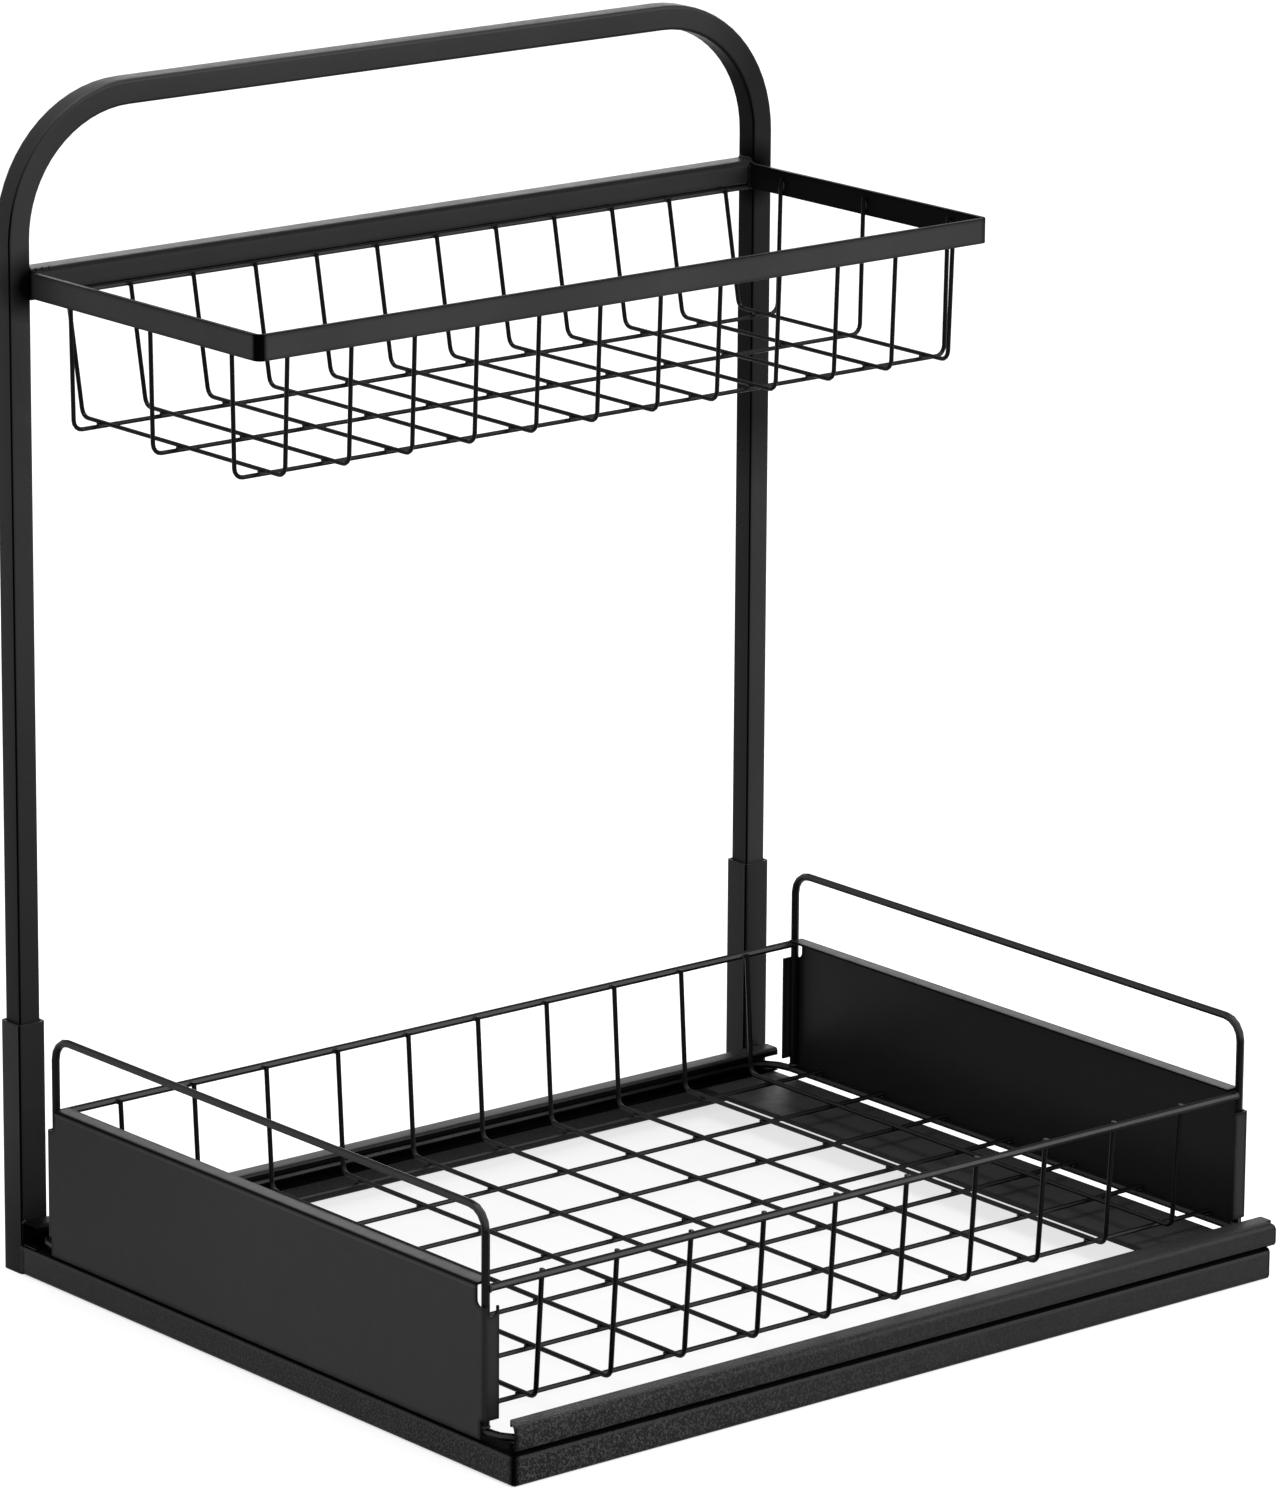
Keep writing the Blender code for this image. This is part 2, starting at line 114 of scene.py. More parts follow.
class Graph:
    """A new material's nodes, with short ways to make and join them."""

    def __init__(self, name):
        self.material = bpy.data.materials.new(name)
        self.material.use_nodes = True
        self.tree = self.material.node_tree
        self.shader = self.tree.nodes["Principled BSDF"]

    def node(self, kind, **values):
        made = self.tree.nodes.new(kind)
        for name, value in values.items():
            setattr(made, name, value)
        return made

    def join(self, source, target):
        self.tree.links.new(source, target)

    def place(self):
        return self.node("ShaderNodeTexCoord").outputs["Object"]

    def part_of(self, vector, axis):
        parts = self.node("ShaderNodeSeparateXYZ")
        self.join(vector, parts.inputs["Vector"])
        return parts.outputs[axis]

    def facing(self, axis):
        """How far the surface looks along an axis, from -1 to 1."""
        return self.part_of(self.node("ShaderNodeNewGeometry").outputs["Normal"], axis)

    def noise(self, place, size, detail=2.0, rough=0.55, stretch=(1, 1, 1)):
        """Noise whose features are about size metres, drawn out along an axis by stretch."""
        mapping = self.node("ShaderNodeMapping")
        mapping.inputs["Scale"].default_value = stretch
        self.join(place, mapping.inputs["Vector"])
        made = self.node("ShaderNodeTexNoise")
        made.inputs["Scale"].default_value = 1 / size
        made.inputs["Detail"].default_value = detail
        made.inputs["Roughness"].default_value = rough
        self.join(mapping.outputs["Vector"], made.inputs["Vector"])
        return made.outputs["Fac"]

    def spread(self, value, low, high, to_low, to_high):
        """The value carried from the range low to high to another range, and no further."""
        made = self.node("ShaderNodeMapRange")
        for name, number in (
            ("From Min", low), ("From Max", high), ("To Min", to_low), ("To Max", to_high),
        ):
            made.inputs[name].default_value = number
        self.join(value, made.inputs["Value"])
        return made.outputs["Result"]

    def math(self, operation, first, second):
        made = self.node("ShaderNodeMath", operation=operation)
        for socket, value in zip(made.inputs, (first, second)):
            if isinstance(value, (int, float)):
                socket.default_value = value
            else:
                self.join(value, socket)
        return made.outputs["Value"]

    def size_of(self, value):
        """The value without its sign."""
        return self.math("ABSOLUTE", value, 0)

    def tones(self, factor, dark, light):
        made = self.node("ShaderNodeMix", data_type="RGBA")
        made.inputs["A"].default_value = (*dark, 1)
        made.inputs["B"].default_value = (*light, 1)
        self.join(factor, made.inputs["Factor"])
        return made.outputs["Result"]

    def blend(self, factor, under, over):
        """The colour under, with the plain colour over laid on it by the factor."""
        made = self.node("ShaderNodeMix", data_type="RGBA")
        self.join(factor, made.inputs["Factor"])
        self.join(under, made.inputs["A"])
        made.inputs["B"].default_value = (*over, 1)
        return made.outputs["Result"]

    def distance(self, spot, axes=every_way):
        """How far a point is from the spot, along the axes that are 1."""
        kept = self.node("ShaderNodeVectorMath", operation="MULTIPLY")
        self.join(self.place(), kept.inputs[0])
        kept.inputs[1].default_value = axes
        away = self.node("ShaderNodeVectorMath", operation="DISTANCE")
        self.join(kept.outputs["Vector"], away.inputs[0])
        away.inputs[1].default_value = spot
        return away.outputs["Value"]

    def near_corner(self):
        """1 at the rack's front left corner, where the coat lies coarse, and less away from it."""
        near, far, least = 0.04, 0.26, 0.18
        return self.spread(self.distance(coarse_corner), near, far, 1.0, least)

    def edges(self, width):
        """1 on edges that are sharper than a bevel of this width, 0 on flat faces."""
        flat, sharp = 0.995, 0.93
        bevel = self.node("ShaderNodeBevel", samples=6)
        bevel.inputs["Radius"].default_value = width
        real = self.node("ShaderNodeNewGeometry")
        dot = self.node("ShaderNodeVectorMath", operation="DOT_PRODUCT")
        self.join(bevel.outputs["Normal"], dot.inputs[0])
        self.join(real.outputs["Normal"], dot.inputs[1])
        return self.spread(dot.outputs["Value"], flat, sharp, 0.0, 1.0)

    def band(self, value, low, high, soft):
        """1 where the value is from low to high, and 0 past a soft border."""
        away = self.size_of(self.math("SUBTRACT", value, (low + high) / 2))
        half = (high - low) / 2
        return self.spread(away, half - soft, half + soft, 1.0, 0.0)

    def box(self, place, ranges, strength):
        """The strength where every range of a stripe holds, and 0 elsewhere."""
        share = strength
        for axis, (low, high, soft) in ranges.items():
            value = self.facing("X") if axis == "facing" else self.part_of(place, axis.upper())
            share = self.math("MULTIPLY", self.band(value, low, high, soft), share)
        return share

    def bump(self, height, distance, under=None):
        made = self.node("ShaderNodeBump")
        made.inputs["Distance"].default_value = distance
        made.inputs["Strength"].default_value = 1.0
        self.join(height, made.inputs["Height"])
        if under is not None:
            self.join(under, made.inputs["Normal"])
        return made.outputs["Normal"]


def uneven_edge_shade(g, place, strength):
    """Painted shade on edges, uneven along their length."""
    edge_width, unevenness_size, unevenness_range, least_share = 0.0028, 0.006, (0.25, 0.6), 0.6
    shade_unevenness = g.spread(g.noise(place, unevenness_size), *unevenness_range, least_share * strength, strength)
    return g.math("MULTIPLY", g.edges(edge_width), shade_unevenness)


def tube_highlight_and_shade(g, colour, axis):
    """A painted highlight line and a painted shade line along a tube's rounded edges, and painted
    shade on its undersides.
    """
    highlight_band, shade_band = (0.16, 0.44, 0.08), (0.42, 0.84, 0.06)
    level, slanted = 0.1, 0.5
    shade_line_on_top, underside_shade_strength = 0.1, 0.6
    across = g.size_of(g.facing(axis))
    upright = g.spread(g.size_of(g.facing("Z")), level, slanted, 1.0, shade_line_on_top)
    colour = g.blend(g.band(across, *highlight_band), colour, round_highlight)
    line = g.math("MULTIPLY", g.band(across, *shade_band), upright)
    underside = g.spread(g.facing("Z"), -level, -slanted, 0.0, underside_shade_strength)
    return colour, [line, underside]


def speckled(g, colour, fine, coarse, strength, tone):
    """Coarse coat: darker, with specks of a lighter tone."""
    darkening, speck_start, speck_full = 0.72, 0.50, 0.575
    colour = g.blend(g.math("MULTIPLY", coarse, darkening), colour, near_black)
    specks = g.spread(fine, speck_start, speck_full, 0.0, strength)
    return g.blend(g.math("MULTIPLY", specks, coarse), colour, tone)


def coat(
    name, dark, light, rough, level, grain=0.0007, height=0.00005, peel=0.004,
    peel_height=0.00006, stretch=(1, 1, 1), edge_shade=0.0, shade_spots=(), painted_bands=(), rounds=None,
    lit=None, speckle=0.0, speckle_tone=(0.02, 0.02, 0.02),
):
    """Black powder coat: grain and orange peel as bump, patches of tone and gloss, painted shade on
    edges.

    Each spot of painted shade gives a place, the axes it is measured along, where it is full, where
    it ends and its strength. The bands come as the band function gives them: painted highlights in a
    tone, or painted shade in black. rounds is the axis whose share in the surface's normal tells a
    tube's rounded edges from its flat sides, for painted highlight and shade lines, and lit is the
    tone of a painted highlight on a wire's upper side.
    """
    patch_size, patch_share, top_highlight_facing = 0.045, 0.7, (0.14, 0.80, 0.12)
    g = Graph(name)
    place = g.place()
    fine = g.noise(place, grain, 3.0, 0.6)
    skin = g.noise(place, peel, 2.0, 0.5, stretch)
    patches = g.noise(place, patch_size, 3.0, 0.55, stretch)
    tone = g.math(
        "ADD", g.math("MULTIPLY", patches, patch_share), g.math("MULTIPLY", fine, 1 - patch_share),
    )
    colour = g.tones(g.spread(tone, *noise_range, 0.0, 1.0), dark, light)
    mixed = g.math("ADD", g.math("MULTIPLY", skin, 0.5), g.math("MULTIPLY", patches, 0.5))
    grain_height = fine
    if speckle:
        coarse = g.near_corner()
        colour = speckled(g, colour, fine, coarse, speckle, speckle_tone)
        grain_height = g.math("MULTIPLY", fine, coarse)
    shade_shares = [uneven_edge_shade(g, place, edge_shade)] if edge_shade else []
    for spot, axes, near, far, strength in shade_spots:
        shade_shares.append(g.spread(g.distance(spot, axes), near, far, strength, 0.0))
    for ranges, highlight_tone, strength in painted_bands:
        share = g.box(place, ranges, strength)
        if highlight_tone:
            colour = g.blend(share, colour, highlight_tone)
        else:
            shade_shares.append(share)
    # A tube's rounded edges get a painted highlight line and painted shade.
    if rounds:
        colour, shade_parts = tube_highlight_and_shade(g, colour, rounds)
        shade_shares += shade_parts
    # A painted highlight on the upper side of rods and wires.
    if lit:
        colour = g.blend(g.band(g.facing("Z"), *top_highlight_facing), colour, lit)
    shine = level
    # Each share of painted shade darkens the colour towards black and takes gloss away.
    for shade_share in shade_shares:
        colour = g.blend(shade_share, colour, near_black)
        shine = g.math("MULTIPLY", g.math("SUBTRACT", 1.0, shade_share), shine)
    g.join(colour, g.shader.inputs["Base Color"])
    g.join(g.spread(mixed, *noise_range, *rough), g.shader.inputs["Roughness"])
    if shade_shares:
        g.join(shine, g.shader.inputs["Specular IOR Level"])
    else:
        g.shader.inputs["Specular IOR Level"].default_value = level
    g.join(g.bump(grain_height, height, g.bump(skin, peel_height)), g.shader.inputs["Normal"])
    return g.material


# How far along X the faces look that look to the left, and the border of that range.
looking_left = (-1.5, -0.6, 0.2)
# The uprights, with painted shade: the right one is darker from below the basket up, both are darker
# on their left sides and round the joints with the bars, and their rounded edges get painted
# highlight and shade lines.
tube_coat = coat(
    "tube_coat", cool(0.0130), cool(0.0168), rough=(0.34, 0.46), level=0.07, rounds="Y",
    shade_spots=[(spot, every_way, 0.005, 0.0155, 1.0) for spot in joint_shade_spots]
    + [(left_shade, from_the_front, 0.02, 0.22, 0.4)],
    painted_bands=[
        painted_band(0.55, x=(0.165, 0.25, 0.012), z=(0.275, 0.60, 0.015)),
        painted_band(0.42, facing=looking_left, x=(0.10, 0.30, 0.02)),
        painted_band(0.23, facing=looking_left, x=(-0.30, -0.10, 0.02)),
    ],
)
# The sleeves: painted highlight and shade lines on their rounded edges, and painted shade round the
# left one's foot.
sleeve_coat = coat(
    "sleeve_coat", cool(0.0072), cool(0.0096), rough=(0.36, 0.48), level=0.07, rounds="Y",
    shade_spots=[(left_foot_shade, every_way, 0.006, 0.05, 0.5)],
)
# The basket's rim and rear wire, with painted shade: the rim is black at its bends, on its right
# inner side, on top and along its edges.
bar_coat = coat(
    "bar_coat", cool(0.015), cool(0.022), rough=(0.34, 0.44), level=0.07,
    grain=0.0006, height=0.00003, edge_shade=0.5,
    shade_spots=[((side * rim_high.x, rim_low.y, 0), level_only, 0.0026, 0.0044, strength)
          for side, strength in ((-1, 1.0), (1, 0.5))],
    painted_bands=[
        painted_band(0.9, x=(rim_high.x - 0.00235, rim_high.x - 0.00165, crisp)),
        painted_band(0.8, z=(rim_high.z - 0.0003, rim_high.z + 0.0010, crisp), y=(-0.02, 0.115, 0.01)),
    ],
)
# The base tubes, with painted shade: black on top and along their upper edges, with a painted
# highlight line under that, and darker on their edges and at the front left corner.
base_coat = coat(
    "base_coat", cool(0.009), cool(0.013), rough=(0.38, 0.54), level=0.07,
    grain=0.0009, height=0.0004, edge_shade=0.8, speckle=0.85, speckle_tone=grey(0.031),
    shade_spots=[(corner_edge_shade, level_only, 0.0010, 0.0034, 0.97)],
    painted_bands=[
        painted_band(0.96, z=(tube_high.z - 0.0010, tube_high.z + 0.0013, crisp)),
        painted_band(0.8, grey(0.022), z=(tube_high.z - 0.0023, tube_high.z - 0.0012, crisp)),
    ],
)
# The cross member: painted shade on its edges.
strip_coat = coat(
    "strip_coat", cool(0.014), cool(0.018), rough=(0.34, 0.46), level=0.07, grain=0.0006, edge_shade=0.6,
)
# The end plates and the basket's rear bar: painted shade and painted highlight lines along their
# folds and edges, and painted shade on the right plate's inner face and towards the left plate's rear
# upper corner.
sheet_coat = coat(
    "sheet_coat", cool(0.0098), cool(0.0124), rough=(0.30, 0.40), level=0.08,
    grain=0.0006, height=0.00003, peel=0.006, edge_shade=0.7,
    shade_spots=[(plate_shade, every_way, 0.02, 0.16, 0.35)],
    painted_bands=[
        painted_band(0.85, z=(plate_high.z - 0.0008, plate_high.z - 0.0002, crisp)),
        painted_band(0.8, grey(0.03), z=(plate_high.z - 0.0023, plate_high.z - 0.0012, crisp)),
        painted_band(0.3, x=(plate_high.x - 0.0020, plate_high.x - 0.0005, crisp)),
        painted_band(0.6, z=(bar_high.z - 0.0014, bar_high.z - 0.0005, crisp)),
        painted_band(0.7, grey(0.016), z=(bar_high.z - 0.0025, bar_high.z - 0.0016, crisp)),
        painted_band(0.85, z=(bar_low.z - 0.0001, bar_low.z + 0.0008, crisp)),
    ],
)
# The rails, with painted shade: black along their lower edges, and the rear one inside its channel
# and at its left end; darker on their edges and at the front left corner.
rail_coat = coat(
    "rail_coat", cool(0.009), cool(0.012), rough=(0.34, 0.46), level=0.07,
    grain=0.0009, height=0.0004, peel=0.003, stretch=(0.15, 1, 1), edge_shade=0.6,
    speckle=0.8, speckle_tone=grey(0.027),
    shade_spots=[(rail_end, every_way, 0.006, 0.014, 0.9), (corner_edge_shade, level_only, 0.0006, 0.0028, 0.9)],
    painted_bands=[
        painted_band(0.96, z=(rail_low.z - 0.0009, rail_low.z + 0.0010, crisp)),
        painted_band(0.9, y=(rail_low.y - 0.0006, rail_high.y - 0.0004, crisp),
               z=(rail_low.z - 0.0009, rail_high.z - 0.0011, crisp)),
    ],
)
# Rods: a painted highlight on their upper sides.
rod_coat = coat(
    "rod_coat", grey(0.0015), grey(0.003), rough=(0.26, 0.38), level=0.06,
    grain=0.0005, height=0.00002, peel=0.002, peel_height=0.00002, lit=grey(0.022),
)
wire_coat = coat(
    "wire_coat", grey(0.0012), grey(0.0028), rough=(0.28, 0.40), level=0.05,
    grain=0.0005, height=0.00002, peel=0.002, peel_height=0.00002,
)
# The drawer's mesh: a painted highlight on the upper sides of its wires.
mesh_coat = coat(
    "mesh_coat", grey(0.0012), grey(0.0024), rough=(0.28, 0.40), level=0.05,
    grain=0.0005, height=0.00002, peel=0.002, peel_height=0.00002, lit=grey(0.011),
)
# Weld metal: painted shade darkens it round the joints on the uprights and at the base's front left
# corner.
weld_coat = coat(
    "weld_coat", grey(0.004), grey(0.022), rough=(0.30, 0.50), level=0.14,
    grain=0.0005, height=0.0001, peel=0.0012, peel_height=0.0001,
    shade_spots=[(spot, every_way, 0.004, 0.016, 0.85) for spot in joint_shade_spots]
    + [(coarse_corner, every_way, 0.008, 0.02, 0.8)],
)
spatter_coat = coat(
    "spatter_coat", grey(0.004), grey(0.07), rough=(0.30, 0.50), level=0.3,
    grain=0.0005, height=0.0001, peel=0.0008, peel_height=0.0002,
)


def screw_metal():
    """Blackened steel with turning marks."""
    mark_size, mark_depth = 0.0004, 0.00002
    g = Graph("screw_metal")
    marks = g.noise(g.place(), mark_size, 2.0, 0.6, (1, 1, 0.2))
    g.join(g.tones(marks, (0.02, 0.02, 0.021), (0.05, 0.05, 0.052)), g.shader.inputs["Base Color"])
    g.join(g.spread(marks, *noise_range, 0.28, 0.45), g.shader.inputs["Roughness"])
    g.shader.inputs["Metallic"].default_value = 1.0
    g.join(g.bump(marks, mark_depth), g.shader.inputs["Normal"])
    return g.material


# The solids

# The start of a solid's name, its material, and how much its edges are softened.
coats = (
    ("basket_rim", bar_coat, 0.0002),
    ("basket_rear_bar", sheet_coat, 0.0002),
    ("basket_rear_wire", bar_coat, 0),
    ("basket", wire_coat, 0),
    ("base_cross_member", strip_coat, 0.0002),
    ("base", base_coat, 0.00025),
    ("sleeve", sleeve_coat, 0.0002),
    ("upper", tube_coat, 0),
    ("rail", rail_coat, 0.0002),
    ("end", sheet_coat, 0.0002),
    ("lock", screw_metal(), 0.0001),
    ("handle", rod_coat, 0),
    ("runner", rod_coat, 0),
    ("drawer_rod", rod_coat, 0),
    ("drawer", mesh_coat, 0),
)
same_place = 0.000002
flat_angle = math.radians(0.5)
bevel_angle = math.radians(40)
split_angle = math.radians(38)


def split_edges(piece):
    """Keeps the piece's sharp edges sharp under smooth shading."""
    split = piece.modifiers.new("split", "EDGE_SPLIT")
    split.split_angle = split_angle
    split.use_edge_sharp = False


def dress(name, node):
    """Gives a solid its material, softened edges and smooth rounds."""
    material, edge = next(row[1:] for row in coats if name.startswith(row[0]))
    node.data.materials.clear()
    node.data.materials.append(material)
    for layer in ("custom_normal", "sharp_edge", "sharp_face"):
        if layer in node.data.attributes:
            node.data.attributes.remove(node.data.attributes[layer])
    node.data.polygons.foreach_set("use_smooth", [True] * len(node.data.polygons))
    node.data.update()
    weld = node.modifiers.new("weld", "WELD")
    weld.merge_threshold = same_place
    if edge:
        flat = node.modifiers.new("flat", "DECIMATE")
        flat.decimate_type = "DISSOLVE"
        flat.angle_limit = flat_angle
        bevel = node.modifiers.new("bevel", "BEVEL")
        bevel.width = edge
        bevel.segments = 2
        bevel.limit_method = "ANGLE"
        bevel.angle_limit = bevel_angle
    split_edges(node)
    normals = node.modifiers.new("normals", "WEIGHTED_NORMAL")
    normals.mode = "FACE_AREA"
    normals.weight = 100


for node_name, cad_node in nodes.items():
    dress(node_name, cad_node)


# Weld metal

# Bumps on weld metal: how close they are, and their share of its radius.
lump_rate = 1400
lump_share = 0.12

# Half sizes, along x, y and z, of the drops of weld metal.
basket_crossing_drop = (0.0011, 0.0011, 0.0006)
basket_front_drop = (0.0012, 0.0008, 0.0022)
basket_rear_drop = (0.0011, 0.0006, 0.0009)
basket_end_drop = (0.0008, 0.0012, 0.0022)
drawer_crossing_drop = (0.0013, 0.0013, 0.0006)
drawer_rod_drop = (0.0014, 0.0006, 0.0013)
ring_drop = (0.0015, 0.0013, 0.0006)
rod_end_drop = (0.0008, 0.0019, 0.0019)
leg_drop = (0.0021, 0.0021, 0.0010)
# How far the middle of a drop lies past the wire, and up the rim that the wires are welded to.
drop_out = 0.0001
leg_drop_out = 0.0003
rim_weld_rise = 0.004
# The end of a rod, from the middle of the handle's leg.
rod_end_inset = 0.0017

# The base tubes' outer corner, and how the ground weld metal goes on past their ends.
tube_corner = 0.0018
filler_inset = 0.00002
filler_overlap = 0.0003
filler_reach = 0.0022
corner_steps = 4


def lumpy(verts, size):
    for vert in verts:
        vert.co += noise.noise_vector(vert.co * lump_rate) * size


def nugget(bm, place, size):
    """A squeezed drop of weld metal where two wires touch."""
    turns, shares = (-0.5, 0.5), (0.85, 1.15)
    turn = Matrix.Rotation(draw.uniform(*turns), 4, "Z")
    reach = [length * draw.uniform(*shares) for length in size]
    matrix = Matrix.Translation(place) @ turn @ Matrix.Diagonal((*reach, 1))
    made = bmesh.ops.create_icosphere(bm, subdivisions=2, radius=1, matrix=matrix)
    lumpy(made["verts"], min(size) * lump_share)


def bridge(bm, rings):
    """Faces between closed rings of points, and over the first and the last ring."""
    count = len(rings[0])
    for ring, following in zip(rings, rings[1:]):
        for k in range(count):
            j = (k + 1) % count
            bm.faces.new((ring[k], ring[j], following[j], following[k]))
    bm.faces.new(list(reversed(rings[0])))
    bm.faces.new(rings[-1])


def bead(bm, start, end, radius, pitch=0.0016, sides=8):
    """A run of overlapping weld drops from start to end."""
    rings_a_drop, fewest_rings = 4, 6
    # The bead's thickness between two drops, and the square of its thickness at its ends.
    neck, tip = 0.82, 0.02
    start, end = Vector(start), Vector(end)
    along = (end - start).normalized()
    across = along.orthogonal().normalized()
    up = along.cross(across)
    length = (end - start).length
    steps = max(fewest_rings, int(length / pitch * rings_a_drop))
    rings = []
    for step in range(steps + 1):
        share = step / steps
        swell = neck + (1 - neck) * abs(math.sin(math.pi * share * length / pitch))
        taper = min(1, math.sqrt(max(tip, min(share, 1 - share) * length / radius)))
        reach = radius * swell * taper
        centre = start + along * (share * length)
        rings.append([
            bm.verts.new(centre + (across * math.cos(a) + up * math.sin(a)) * reach)
            for a in (2 * math.pi * k / sides for k in range(sides))
        ])
    bridge(bm, rings)
    lumpy([vert for ring in rings for vert in ring], radius * lump_share)


def finish_piece(name, bm, body, material=weld_coat):
    """Makes a smooth piece from the built mesh, riding on its body."""
    bmesh.ops.recalc_face_normals(bm, faces=bm.faces)
    mesh = bpy.data.meshes.new(name)
    bm.to_mesh(mesh)
    bm.free()
    mesh.polygons.foreach_set("use_smooth", [True] * len(mesh.polygons))
    mesh.materials.append(material)
    piece = bpy.data.objects.new(name, mesh)
    bpy.context.scene.collection.objects.link(piece)
    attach(piece, body)
    return piece


def middle(name):
    low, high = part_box(name)
    return (low + high) / 2


def named(stem):
    return [name for name in sorted(nodes) if name.startswith(stem)]


def basket_spots():
    bm = bmesh.new()
    rim_weld = rim_low.z + rim_weld_rise
    for wire in named("basket_depth_wire"):
        low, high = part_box(wire)
        x = (low.x + high.x) / 2
        for crossed in named("basket_long_wire"):
            nugget(bm, (x, middle(crossed).y, low.z), basket_crossing_drop)
        nugget(bm, (x, low.y + drop_out, rim_weld), basket_front_drop)
        nugget(bm, (x, high.y + drop_out, middle("basket_rear_wire").z), basket_rear_drop)
    for wire in named("basket_long_wire"):
        low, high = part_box(wire)
        for x in (low.x, high.x):
            nugget(bm, (x, (low.y + high.y) / 2, rim_weld), basket_end_drop)
    finish_piece("basket_spot_welds", bm, "frame")


def drawer_spots():
    bm = bmesh.new()
    front, rear = middle("drawer_rod_front"), middle("drawer_rod_rear")
    leg = middle("handle_right").x
    for wire in named("drawer_depth_wire"):
        low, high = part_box(wire)
        x = (low.x + high.x) / 2
        for crossed in named("drawer_long_wire"):
            nugget(bm, (x, middle(crossed).y, low.z - drop_out), drawer_crossing_drop)
        nugget(bm, (x, low.y - drop_out, front.z), drawer_rod_drop)
        nugget(bm, (x, high.y + drop_out, rear.z), drawer_rod_drop)
    for wire in named("drawer_long_wire"):
        for side in (-1, 1):
            nugget(bm, (side * leg, middle(wire).y, ring_high.z + drop_out), ring_drop)
    for side in (-1, 1):
        for rod in (front, rear):
            nugget(bm, (side * (leg - rod_end_inset), rod.y, rod.z), rod_end_drop)
            nugget(bm, (side * leg, rod.y, ring_high.z + leg_drop_out), leg_drop)
    finish_piece("drawer_spot_welds", bm, "drawer")


def tube_filler(bm, low, high, along, start, end):
    """Ground weld metal in the outline of a tube that ends against a sleeve's rounded corner."""
    across = 1 - along
    half_wide = (high[across] - low[across]) / 2 - filler_inset
    half_high = (high.z - low.z) / 2 - filler_inset
    middle_across, middle_up = (low[across] + high[across]) / 2, (low.z + high.z) / 2
    rings = []
    for place in (start, end):
        ring = []
        for quarter, (turn_wide, turn_high) in enumerate(((1, 1), (-1, 1), (-1, -1), (1, -1))):
            centre_across = middle_across + turn_wide * (half_wide - tube_corner)
            centre_up = middle_up + turn_high * (half_high - tube_corner)
            for step in range(corner_steps + 1):
                angle = math.pi / 2 * (quarter + step / corner_steps)
                point = Vector((0, 0, 0))
                point[along] = place
                point[across] = centre_across + tube_corner * math.cos(angle)
                point.z = centre_up + tube_corner * math.sin(angle)
                ring.append(bm.verts.new(point))
        rings.append(ring)
    bridge(bm, rings)


def base_fillers():
    bm = bmesh.new()
    tube_filler(bm, tube_low, tube_high, 1, tube_high.y - filler_overlap, tube_high.y + filler_reach)
    low, high = rear_tube_low, rear_tube_high
    tube_filler(bm, low, high, 0, low.x - filler_reach, low.x + filler_overlap)
    tube_filler(bm, low, high, 0, high.x - filler_overlap, high.x + filler_reach)
    split_edges(finish_piece("base_weld_fillers", bm, "frame", base_coat))


def bar_beads(bm, side):
    """Round the end of the basket's rear bar: above, below and behind."""
    inset, radius = 0.001, 0.0011
    rear_inset, rear_radius = 0.0008, 0.0009
    x = side * bar_high.x
    y = bar_high.y - rear_inset
    for z in (bar_high.z, bar_low.z):
        bead(bm, (x, bar_low.y + inset, z), (x, bar_high.y - inset, z), radius)
    bead(bm, (x, y, bar_low.z + inset), (x, y, bar_high.z - inset), rear_radius)


def rim_beads(bm, side):
    """Where the rim's end meets the rear bar: inside, on top and low on the outside."""
    radius, inner_inset, inner_end_inset = 0.0010, 0.0022, 0.0005
    top_inset, top_half = 0.001, 0.0012
    foot_radius, foot_inset, foot_out, foot_start, foot_end = 0.0006, 0.0003, 0.0001, 0.0002, 0.0026
    x, y = side * (rim_high.x - inner_inset), rim_high.y
    bead(bm, (x, y, rim_low.z + inner_end_inset), (x, y, rim_high.z - inner_end_inset), radius)
    x = side * (rim_high.x - top_inset)
    bead(bm, (x, y - top_half, rim_high.z), (x, y + top_half, rim_high.z), radius)
    x, y = side * (rim_high.x - foot_inset), rim_high.y + foot_out
    bead(bm, (x, y, rim_low.z + foot_start), (x, y, rim_low.z + foot_end), foot_radius)


def sleeve_bead(bm, side):
    """Along the sleeve's inner side, at the height of the base tubes' top."""
    inset, radius, sunk = 0.0015, 0.0012, 0.0002
    x = side * (sunk - sleeve_high.x)
    bead(bm, (x, sleeve_low.y + inset, tube_high.z), (x, sleeve_high.y - inset, tube_high.z), radius)


def rail_beads(bm):
    """Behind and under the rear rail's left end."""
    radius, pitch = 0.0009, 0.0024
    x = tube_low.x + 0.0011
    end_inset, under_inset = 0.0004, 0.001
    behind, rise, run = 0.0004, 0.0006, (0.002, 0.007)
    y = rail_high.y
    bead(bm, (x, y, rail_low.z + end_inset), (x, y, rail_high.z - end_inset), radius, pitch)
    bead(bm, (x, y, rail_low.z), (x, rail_low.y + under_inset, rail_low.z), radius, pitch)
    start, end = ((x + step, y + behind, rail_low.z + rise) for step in run)
    bead(bm, start, end, radius, pitch)


def mitre_beads(bm):
    """Up the base's front left corner, and along the mitre on top of it."""
    inset, radius, pitch = 0.0011, 0.0009, 0.0021
    foot_inset, top_inset = 0.001, 0.0008
    mitre_radius, mitre_start, mitre_run = 0.0005, (0.0008, 0.0022), 0.009
    x, y = front_tube_low.x + inset, front_tube_low.y + inset
    low, high = front_tube_low.z, front_tube_high.z
    bead(bm, (x, y, low + foot_inset), (x, y, high - top_inset), radius, pitch)
    x, y = x + mitre_start[0], front_tube_low.y + mitre_start[1]
    bead(bm, (x, y, high), (x + mitre_run, y + mitre_run, high), mitre_radius, pitch)


